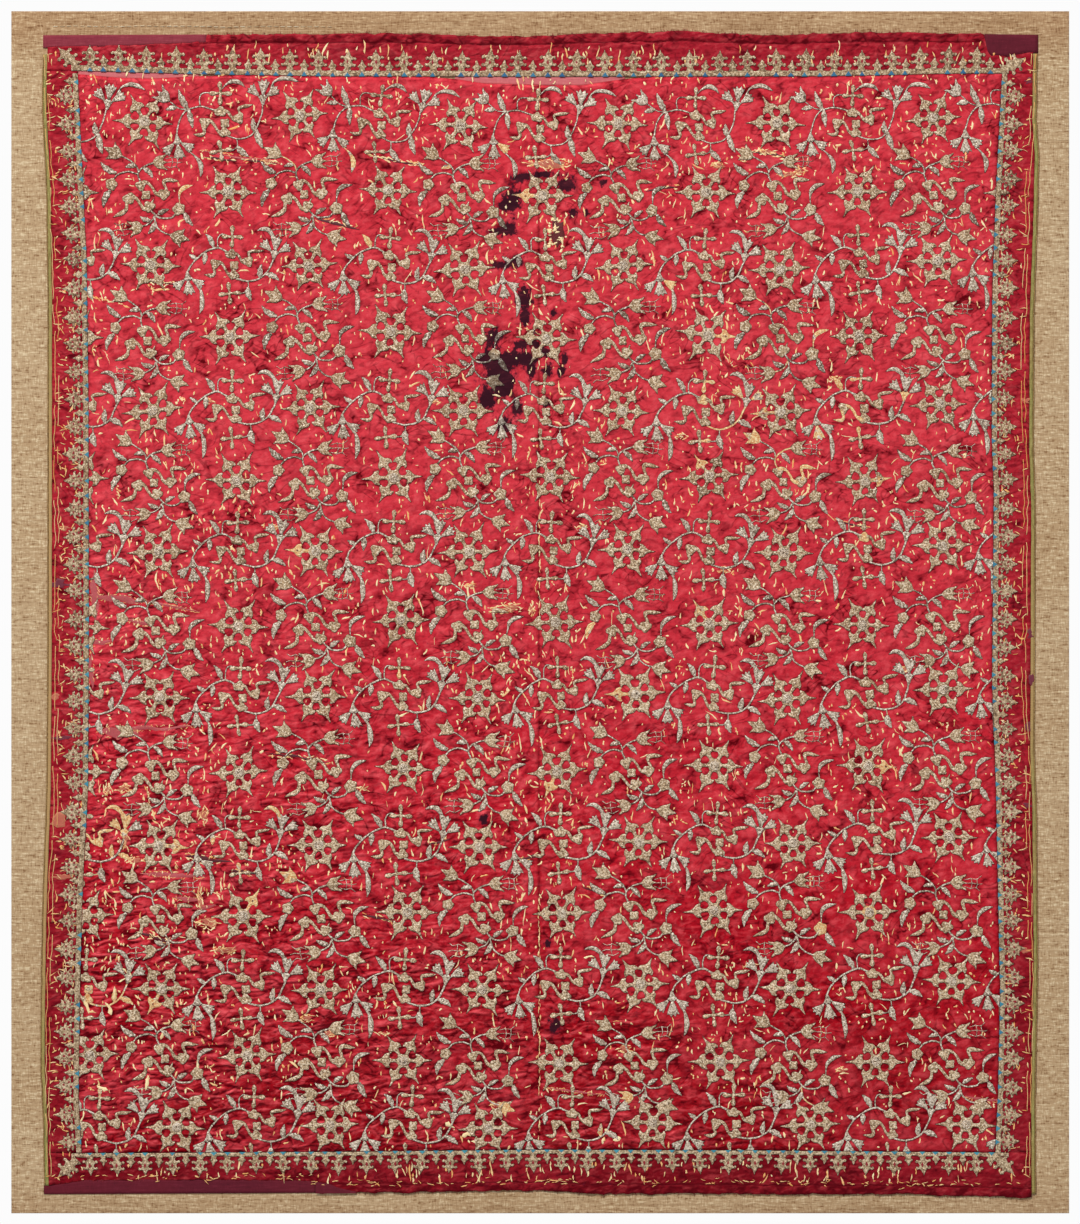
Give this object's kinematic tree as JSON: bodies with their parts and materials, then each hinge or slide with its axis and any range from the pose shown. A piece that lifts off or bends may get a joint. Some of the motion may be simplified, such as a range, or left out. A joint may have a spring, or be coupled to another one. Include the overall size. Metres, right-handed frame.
{
  "type": "embroidered silk panel on a cloth-covered mount",
  "caption": "Flat red silk satin panel with metal-thread stars, scrolls and a palmette border, stitched down on a plain cloth-covered mount to be shown on a wall",
  "frame": {"origin": "under the middle of the mount, on the flat plane that it lies on", "axes": "+X across the panel to the viewer's right, +Y up the panel along its seam, +Z out of its embroidered face"},
  "size_m": [1.503, 1.708, 0.0105],
  "materials": {
    "mount_cloth": "plain woven slubbed cloth",
    "field_satin": "glossy silk satin, worn dull in places",
    "border_satin": "silk satin",
    "plum_cloth": "plain dull cloth",
    "pale_plum_cloth": "plain dull cloth, faded",
    "pink_cloth": "plain dull cloth",
    "green_silk": "worn ribbed silk",
    "edge_cord": "twisted silk cord",
    "metal_thread": "tarnished gilt thread, couched in rows",
    "silver_thread": "dull silvered thread, couched in rows",
    "blue_silk": "glossy floss silk",
    "padding": "matt cream padding"
  },
  "bodies": {
    "root": {"mount": "mount_cloth", "field_left": "field_satin", "field_right": "field_satin", "border_top": "border_satin", "border_bottom": "border_satin", "border_left": "border_satin", "border_right": "border_satin", "plum_mend_top_left": "pale_plum_cloth", "plum_mend_top_right": "plum_cloth", "plum_mend_bottom_left": "plum_cloth", "pink_mend_left": "pink_cloth", "pink_mend_middle": "pink_cloth", "edging_left": "green_silk", "edging_right": "green_silk", "edge_cord_left": "edge_cord", "edge_cord_right": "edge_cord"}
  },
  "joints": []
}
